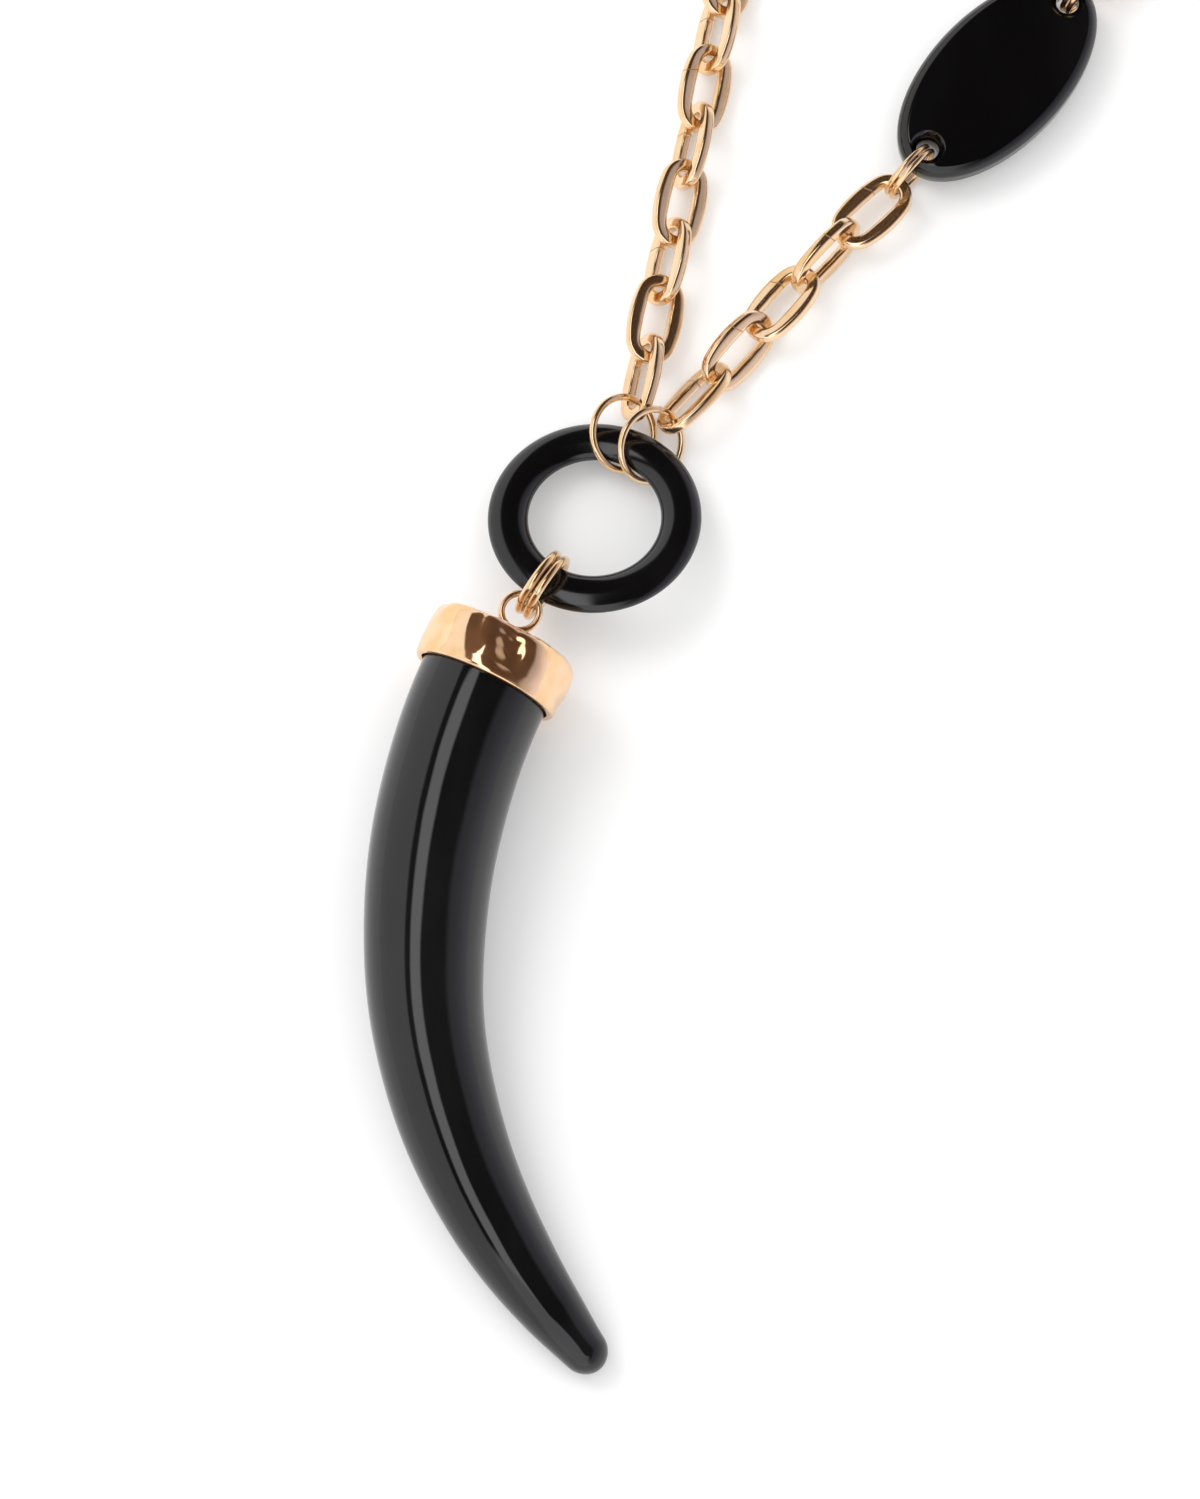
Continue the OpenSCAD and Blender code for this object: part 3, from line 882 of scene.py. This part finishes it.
@dataclass
class Strand:
    """A run of links for one solid, made by a node tree from one point for each link."""

    node: str
    stances: list[Stance]
    link: Link = field(default_factory=Link)
    around: int = 60
    across: int = 32
    seed: int = 5

    def build(self, material: bpy.types.Material) -> bpy.types.Object:
        """Makes and dresses the links.

        Args:
            material: The finish.

        Returns:
            The finished object.
        """
        mesh = bpy.data.meshes.new("link_middles")
        mesh.from_pydata([tuple(s.place * MM) for s in self.stances], [], [])
        angles = [value for s in self.stances for value in s.turn()]
        mesh.attributes.new("turn", "FLOAT_VECTOR", "POINT").data.foreach_set("vector", angles)
        source = place_object("link_middles", mesh)
        counts = {"Around": self.around, "Across": self.across, "Seed": self.seed}
        inputs = {label: ("NodeSocketFloat", MM) for label in self.link.inputs()}
        inputs.update({label: ("NodeSocketInt", 0) for label in counts})
        inputs["Finish"] = ("NodeSocketMaterial", None)
        values = {**self.link.inputs(), **counts, "Finish": material}
        result = Recipe("cable_links", inputs, self._links).bake(source, values)
        bpy.data.objects.remove(source)
        piece = place_object("links_of_" + self.node, result)
        show(piece, self.node, material)
        return piece

    def _links(self, graph: Graph, terms: dict[str, Term]) -> Term:
        """Puts a link on each point, turned as the point says."""
        link = self._one_link(graph, terms)
        turn = graph.add("FunctionNodeEulerToRotation", {0: read_point(graph, "turn", "FLOAT_VECTOR")}).out()
        sockets = {"Points": terms["Geometry"], "Instance": link, "Rotation": turn}
        links = graph.add("GeometryNodeInstanceOnPoints", sockets).out()
        luck = graph.add("FunctionNodeRandomValue", {"Seed": terms["Seed"]}, data_type="FLOAT").out(1)
        sockets = {"Geometry": links, "Name": "luck", "Value": luck}
        settings = {"data_type": "FLOAT", "domain": "INSTANCE"}
        links = graph.add("GeometryNodeStoreNamedAttribute", sockets, **settings).out()
        return finished(graph, links, terms["Finish"])

    def _one_link(self, graph: Graph, terms: dict[str, Term]) -> Term:
        """Draws one link along X: an oval of four arcs, swept with a wire that has flat faces."""
        end = terms["End radius"]
        half_w = (terms["Width"] - terms["Wire"]) / 2.0
        end_x = (terms["Length"] - terms["Wire"]) / 2.0 - end
        side = (half_w * half_w + end_x * end_x - end * end) / (2.0 * (half_w - end))
        bend = (side - half_w).math("ARCTAN2", end_x)
        x, y, _ = parts_of(graph, position(graph))
        share = y.math("ABSOLUTE").math("ARCTAN2", x.math("ABSOLUTE")) / (math.pi / 2)
        split = 0.44
        at_end = share.math("LESS_THAN", split)
        at_side = 1.0 - at_end
        end_turn = bend * share / split
        side_turn = bend + (math.pi / 2 - bend) * (share - split) / (1 - split)
        new_x = at_end * (end_x + end * end_turn.math("COSINE")) + at_side * side * side_turn.math("COSINE")
        side_y = half_w - side + side * side_turn.math("SINE")
        new_y = at_end * end * end_turn.math("SINE") + at_side * side_y
        x_sign, y_sign = x.math("SIGN"), y.math("SIGN")
        sockets = {"Geometry": unit_circle(graph, terms["Around"])}
        sockets["Position"] = vector(graph, new_x * x_sign, new_y * y_sign)
        curve = graph.add("GeometryNodeSetPosition", sockets).out()
        curve = graph.add("GeometryNodeSetCurveNormal", {"Curve": curve}, mode="Z_UP").out()
        way = at_end * end_turn + at_side * side_turn
        wear = terms["Worn"] * (1.0 - share.ramp(0.2, 0.8))
        push = vector(graph, wear * way.math("COSINE") * x_sign, wear * way.math("SINE") * y_sign)
        curve = store_point(graph, curve, "push", push, "FLOAT_VECTOR")
        sockets = {"Curve": curve, "Profile Curve": self._profile(graph, terms)}
        mesh = graph.add("GeometryNodeCurveToMesh", sockets).out()
        sockets = {0: read_point(graph, "push", "FLOAT_VECTOR"), "Scale": read_point(graph, "inner")}
        offset = graph.add("ShaderNodeVectorMath", sockets, operation="SCALE").out()
        mesh = graph.add("GeometryNodeSetPosition", {"Geometry": mesh, "Offset": offset}).out()
        angle = graph.add("GeometryNodeInputMeshEdgeAngle").out(0)
        soft = angle.math("LESS_THAN", math.radians(40))
        mesh = graph.add("GeometryNodeSetShadeSmooth", {0: mesh, "Shade Smooth": soft}, domain="EDGE").out()
        return store_point(graph, mesh, "local", position(graph), "FLOAT_VECTOR")

    @staticmethod
    def _profile(graph: Graph, terms: dict[str, Term]) -> Term:
        """Draws the wire's section, with flat faces and soft corners, marked with how far in a point is."""
        x, y, _ = parts_of(graph, position(graph))
        circle = store_point(graph, unit_circle(graph, terms["Across"]), "inner", 0.5 - x * 0.5)
        share, square = terms["Thickness"] / terms["Wire"], 3.8
        reach = x.math("ABSOLUTE") ** square + (y.math("ABSOLUTE") / share) ** square
        reach = reach ** (-1.0 / square) * (terms["Wire"] / 2.0)
        sockets = {"Geometry": circle, "Position": vector(graph, x * reach, y * reach)}
        return graph.add("GeometryNodeSetPosition", sockets).out()


@dataclass
class Chain:
    """The short chain to the bead and the two halves of the long one, which run round the loop."""

    left_start: Triple = (6.3256, 19.6149, 3.2897)
    right_start: Triple = (13.1214, 16.832, 3.2897)
    left_heading: float = 11.8
    right_heading: float = 42.8
    short_pitch: float = 8.7
    long_pitch: float = 8.15
    long_links: int = 78
    far_link_at: float = 84.1707
    wide_roll: float = 28.0
    narrow_roll: float = -56.0
    first_rolls: tuple[float, ...] = (-58.0, 19.0, -50.0, 28.0, -58.0, 31.0, -50.0)
    short_rolls: tuple[float, ...] = (-50.0, 44.0, -25.0, 70.0, -12.0)
    short_turns: tuple[float, ...] = (0.0, -2.0, -2.0, 0.0, 4.0)
    short_sides: tuple[float, ...] = (0.0, -0.12, -0.25, -0.42, 0.0)
    link: Link = field(default_factory=Link)
    finish: PaleGold = PaleGold(name="chain_plate", seams=True, gloss=0.10)

    def build(self) -> None:
        """Makes the three runs of links."""
        material = self.finish.material()
        short = []
        for i, (roll, turn, side) in enumerate(zip(self.short_rolls, self.short_turns, self.short_sides)):
            place = self._right_line(i * self.short_pitch) + right_of(self.right_heading) * side
            short.append(self._stance(place, self.right_heading + turn, roll))
        Strand("chain_short", short, seed=3).build(material)
        route = self._long_stances()
        half = self.long_links // 2
        Strand("chain_left", route[:half], seed=8).build(material)
        Strand("chain_right", route[half:], seed=12).build(material)

    def _stance(self, place: Vector, heading: float, roll: float) -> Stance:
        """Returns a link's stance, lifted where its low side would sink into the surface."""
        half_wire = self.link.wire / 2
        low = (self.link.width / 2 - half_wire) * math.sin(math.radians(abs(roll))) + half_wire
        return Stance(Vector((place.x, place.y, max(place.z, low))), heading, roll)

    def _right_line(self, distance: float) -> Vector:
        """Returns a place on the right strand's line."""
        return Vector(self.right_start) + ahead(self.right_heading) * distance

    def _long_stances(self) -> list[Stance]:
        """Returns the long chain's links: up the left strand, round an arc to the right one, and back."""
        turn = 180 + self.right_heading - self.left_heading
        arc_share = math.radians(turn)
        step = Vector(self.right_start) - Vector(self.left_start)
        inward = -right_of(self.right_heading) - right_of(self.left_heading)
        left, right = ahead(self.left_heading), ahead(self.right_heading)
        cross = left.cross(right).z
        a0, a1 = step.cross(right).z / cross, inward.cross(right).z / cross
        b0, b1 = step.cross(left).z / cross, inward.cross(left).z / cross
        run = (self.long_links - 1) * self.long_pitch
        radius = (run - a0 - b0 + self.far_link_at) / (a1 + b1 + arc_share)
        left_run, arc_run = a0 + a1 * radius, radius * arc_share
        middle = Vector(self.left_start) + left * left_run + right_of(self.left_heading) * radius
        stances = []
        for i in range(self.long_links):
            s = i * self.long_pitch
            heading = self.left_heading + turn * min(1.0, max(0.0, (s - left_run) / arc_run))
            if s < left_run:
                place = Vector(self.left_start) + left * s
            elif s < left_run + arc_run:
                place = middle - right_of(heading) * radius
            else:
                place = self._right_line(self.far_link_at + run - s)
            roll = self.wide_roll if i % 2 else self.narrow_roll
            roll = self.first_rolls[i] if i < len(self.first_rolls) else roll
            stances.append(self._stance(place, heading, roll))
        return stances


# The bead


@dataclass
class OvalBead:
    """The flat black oval, with a bevelled edge and a countersunk hole near each end."""

    length: float = 34.2
    width: float = 18.2
    height: float = 4.8
    bevel: float = 1.6
    hole: float = 3.0
    sink: float = 4.7
    hole_edge: float = 3.2
    heading: float = 42.8
    sides: int = 240
    hole_sides: int = 72
    finish: BlackResin = BlackResin(name="bead_resin", wave_mm=0.01)

    def build(self) -> bpy.types.Object:
        """Returns the bead's finished object."""
        body = place_object("bead_body", self._body())
        helpers = [body]
        apart = self.length / 2 - self.hole_edge
        for x in (-apart, apart):
            helpers.append(place_object("bead_drill", self._drill(x)))
            cut = body.modifiers.new("hole", "BOOLEAN")
            cut.operation, cut.solver, cut.object = "DIFFERENCE", "EXACT", helpers[-1]
        mesh = baked_mesh(body)
        for helper in helpers:
            bpy.data.objects.remove(helper)
        mesh.transform(Matrix.Translation(node_middle("oval_bead") * MM) @ turned("Z", 90 - self.heading))
        tidy_mesh(mesh, 24.0)
        bead = place_object("polished_bead", mesh)
        bead.modifiers.new("even_normals", "WEIGHTED_NORMAL").keep_sharp = True
        bead.data = baked_mesh(bead)
        bead.modifiers.clear()
        show(bead, "oval_bead", self.finish.material())
        return bead

    def _body(self) -> bpy.types.Mesh:
        """Draws the oval without its holes."""
        half = self.height / 2
        rows = [(0.0, 0.30 * half), (0.02, 0.40 * half), (0.08, 0.50 * half), (0.20, 0.64 * half)]
        rows += [(0.36, 0.77 * half), (0.56, 0.88 * half), (0.78, 0.96 * half), (1.0, half)]
        rows = [(inset, -z) for inset, z in reversed(rows)] + rows
        rings = []
        for inset, z in rows:
            a, b = self.length / 2 - inset * self.bevel, self.width / 2 - inset * self.bevel
            rings.append([Vector((a * math.cos(t), b * math.sin(t), z)) for t in turns(self.sides)])
        return tube_mesh("bead_body", rings, False)

    def _drill(self, x: float) -> bpy.types.Mesh:
        """Draws the tool that cuts one hole with its two countersinks.

        Args:
            x: The hole's place along the bead.

        Returns:
            The tool's mesh.
        """
        deep = (self.sink - self.hole) / 2
        half = self.height / 2
        line = [(self.sink / 2 + 1, half + 1), (self.sink / 2, half)]
        line += [(self.hole / 2 + 0.1, half - deep + 0.12), (self.hole / 2, half - deep - 0.12)]
        line += [(r, -z) for r, z in reversed(line)]
        around = turns(self.hole_sides)
        rings = [[Vector((x + r * math.cos(t), r * math.sin(t), z)) for t in around] for r, z in line]
        return tube_mesh("bead_drill", rings, False)


# Wire rings


@dataclass
class RingSet:
    """All the rings of round wire: the bails, the jump rings and the doubled rings at the bead."""

    bail_outer: float = 9.8
    bail_wire: float = 1.15
    bail_heading: float = 35.3
    jump_outer: float = 10.6
    jump_wire: float = 0.95
    jump_left: tuple[float, float] = (-18.1, 36.0)
    jump_right: tuple[float, float] = (-33.4, 42.0)
    bead_outer: float = 8.6
    bead_wire: float = 0.75
    bead_heading: float = 42.8
    finish: PaleGold = PaleGold(name="ring_plate", gloss=0.12)

    def build(self) -> None:
        """Makes the eight rings."""
        material = self.finish.material()
        for side, spin in (("a", 70.0), ("b", 205.0)):
            pose = self._upright(self.bail_heading, spin)
            WireRing("bail_ring_" + side, self.bail_outer, self.bail_wire, pose).build(material)
        for side, (azimuth, lean) in (("left", self.jump_left), ("right", self.jump_right)):
            pose = turned("Z", azimuth) @ turned("Y", lean) @ turned("Z", 118)
            WireRing("jump_ring_" + side, self.jump_outer, self.jump_wire, pose).build(material)
        for i, node in enumerate(("near_a", "near_b", "far_a", "far_b")):
            pose = self._upright(self.bead_heading, 80.0 * i + 40.0)
            WireRing("bead_ring_" + node, self.bead_outer, self.bead_wire, pose).build(material)

    @staticmethod
    def _upright(heading: float, spin: float) -> Matrix:
        """Returns the turn of a ring that stands along a heading, with its slit spun round."""
        return turned("Z", -heading) @ turned("Y", 90) @ turned("Z", spin)


# The studio


@dataclass
class TableLamps:
    """Two lamps with no mirror image: a very wide dome, and a key that gives the shadows their side."""

    dome_power: float = 3.2
    dome_spread: float = 165.0
    dome_lean: tuple[float, float] = (-16.0, 8.0)
    key_power: float = 2.7
    key_size: float = 0.56
    key_at: Triple = (-0.50, 0.40, 0.74)

    def build(self) -> None:
        """Makes both lamps."""
        lean = turned("Y", self.dome_lean[0]) @ turned("X", -self.dome_lean[1])
        dome = self._lamp("dome_lamp", "SUN", self.dome_power, lean)
        dome.data.angle = math.radians(self.dome_spread)
        turn = Vector(self.key_at).to_track_quat("Z", "Y").to_matrix().to_4x4()
        key = self._lamp("key_lamp", "AREA", self.key_power, moved(self.key_at) @ turn)
        key.data.shape = "DISK"
        key.data.size = self.key_size

    @staticmethod
    def _lamp(name: str, kind: str, power: float, pose: Matrix) -> bpy.types.Object:
        """Returns a new lamp."""
        data = bpy.data.lights.new(name, kind)
        data.energy = power
        lamp = bpy.data.objects.new(name, data)
        bpy.context.scene.collection.objects.link(lamp)
        lamp.matrix_world = pose
        lamp.visible_glossy = False
        return lamp


@dataclass
class Panels:
    """The soft panels that show in the gloss, painted on the air by where each direction leans."""

    over: Triple = (0.036, 0.026, 0.020)
    left: Triple = (1.12, 1.10, 1.09)
    left_from: float = 36.0
    strip: Triple = (2.3, 2.3, 2.3)
    strip_span: tuple[float, float] = (5.0, 25.0)
    strip_reach: float = 20.0
    right: Triple = (1.0, 0.96, 1.10)
    right_near: tuple[float, float] = (38.0, 52.0)
    right_far: tuple[float, float] = (50.0, 96.0)
    near_share: float = 0.44
    front: Triple = (1.5, 1.5, 1.55)
    front_from: float = 0.55
    front_sides: tuple[float, float] = (-0.52, 0.34)
    soft: float = 2.5

    def build(self, graph: Graph) -> Term:
        """Paints the panels.

        Args:
            graph: The air's empty node tree.

        Returns:
            The background's shader.
        """
        way = graph.add("ShaderNodeTexCoord").out("Generated")
        x, y, z = parts_of(graph, way)
        lean = x.math("ARCTAN2", z) * (180 / math.pi)
        rise = y.math("ARCTAN2", z) * (180 / math.pi)
        near, far = self.strip_span
        strip = self._edge(-lean, near) * self._edge(lean, -far) * self._edge(-rise, -self.strip_reach)
        right = lean.ramp(*self.right_near) * self.near_share
        right = right + lean.ramp(*self.right_far) * (1 - self.near_share)
        first, last = self.front_sides
        front = (-y).ramp(self.front_from - 0.04, self.front_from + 0.04)
        front = front * (x.ramp(first - 0.05, first + 0.05) * (1.0 - x.ramp(last - 0.2, last + 0.2)))
        colour = blend_colour(graph, right, self.over, self.right)
        colour = blend_colour(graph, strip, colour, self.strip)
        colour = blend_colour(graph, self._edge(-lean, self.left_from), colour, self.left)
        colour = blend_colour(graph, front, colour, self.front)
        return graph.add("ShaderNodeBackground", {"Color": colour, "Strength": 1.0}).out()

    def _edge(self, value: Term, at: float) -> Term:
        """Returns 0 below an edge and 1 past it, with a soft step between."""
        return value.ramp(at - self.soft, at + self.soft)


@dataclass
class Studio:
    """The pale floor, the soft lights and the camera."""

    camera_at: Triple = (0.706, -190.01, 753.78)
    elevation: float = 78.0
    focal_share: float = 5900.0 / 1499.0
    lamps: TableLamps = field(default_factory=TableLamps)
    panels: Panels = field(default_factory=Panels)
    reach: float = 6.0
    pale: float = 0.9
    glow: float = 0.15
    # Painted shade on the floor inside the ring's hole: how much darker it is, and the radii in millimetres
    # over which it fades out.
    painted_shade: float = 0.13
    painted_shade_span: tuple[float, float] = (8.0, 12.0)

    def build(self) -> None:
        """Makes everything that isn't the necklace."""
        self._camera()
        self._floor()
        self.lamps.build()
        world = bpy.data.worlds.new("studio_air")
        bpy.context.scene.world = world
        world.use_nodes = True
        graph = Graph(world.node_tree)
        graph.add("ShaderNodeOutputWorld", {"Surface": self.panels.build(graph)})
        world.cycles_visibility.diffuse = False
        view = bpy.context.scene.view_settings
        view.view_transform = "Standard"
        view.look = "None"
        LOG.info("studio: built")

    def _camera(self) -> None:
        """Makes the camera, which looks down on the necklace."""
        data = bpy.data.cameras.new("view")
        data.sensor_fit = "VERTICAL"
        data.sensor_height = 24.0
        data.lens = 24.0 * self.focal_share
        data.clip_start, data.clip_end = 0.01, 20.0
        camera = bpy.data.objects.new("view", data)
        bpy.context.scene.collection.objects.link(camera)
        turn = Euler((math.radians(90 - self.elevation), 0.0, 0.0)).to_matrix().to_4x4()
        camera.matrix_world = Matrix.Translation(Vector(self.camera_at) * MM) @ turn
        bpy.context.scene.camera = camera

    def _floor(self) -> None:
        """Makes the floor: a wide pale sheet that glows a little, with painted shade inside the ring, where
        its colour and glow are darkened.
        """
        mesh = bpy.data.meshes.new("floor")
        corners = [(x * self.reach, y * self.reach, 0) for x, y in ((-1, -1), (1, -1), (1, 1), (-1, 1))]
        mesh.from_pydata(corners, [], [(0, 1, 2, 3)])
        floor = place_object("floor", mesh)
        graph = empty_material("pale_table")
        away = graph.add("ShaderNodeVectorMath", {0: object_place(graph)}, operation="LENGTH").out("Value")
        first, last = self.painted_shade_span
        # Painted shade: the table's colour and glow are darkened inside the ring's hole, standing in for the
        # ring's shade.
        painted_shade_factor = 1.0 - self.painted_shade * (1.0 - away.ramp(first * MM, last * MM))
        table = blend_colour(graph, painted_shade_factor, (0.0, 0.0, 0.0), (self.pale, self.pale, self.pale))
        sockets = {"Base Color": table, "Roughness": 0.9}
        sockets.update({"Emission Color": table, "Emission Strength": self.glow})
        shader = graph.add("ShaderNodeBsdfPrincipled", sockets).out()
        graph.add("ShaderNodeOutputMaterial", {"Surface": shader})
        mesh.materials.append(bpy.data.materials["pale_table"])


def main() -> None:
    """Builds the studio and every piece of the necklace."""
    logging.basicConfig(level=logging.INFO, format="%(message)s")
    Studio().build()
    Horn().build()
    Cap().build()
    BlackRing().build()
    RingSet().build()
    Chain().build()
    OvalBead().build()


if __name__ == "__main__":
    main()
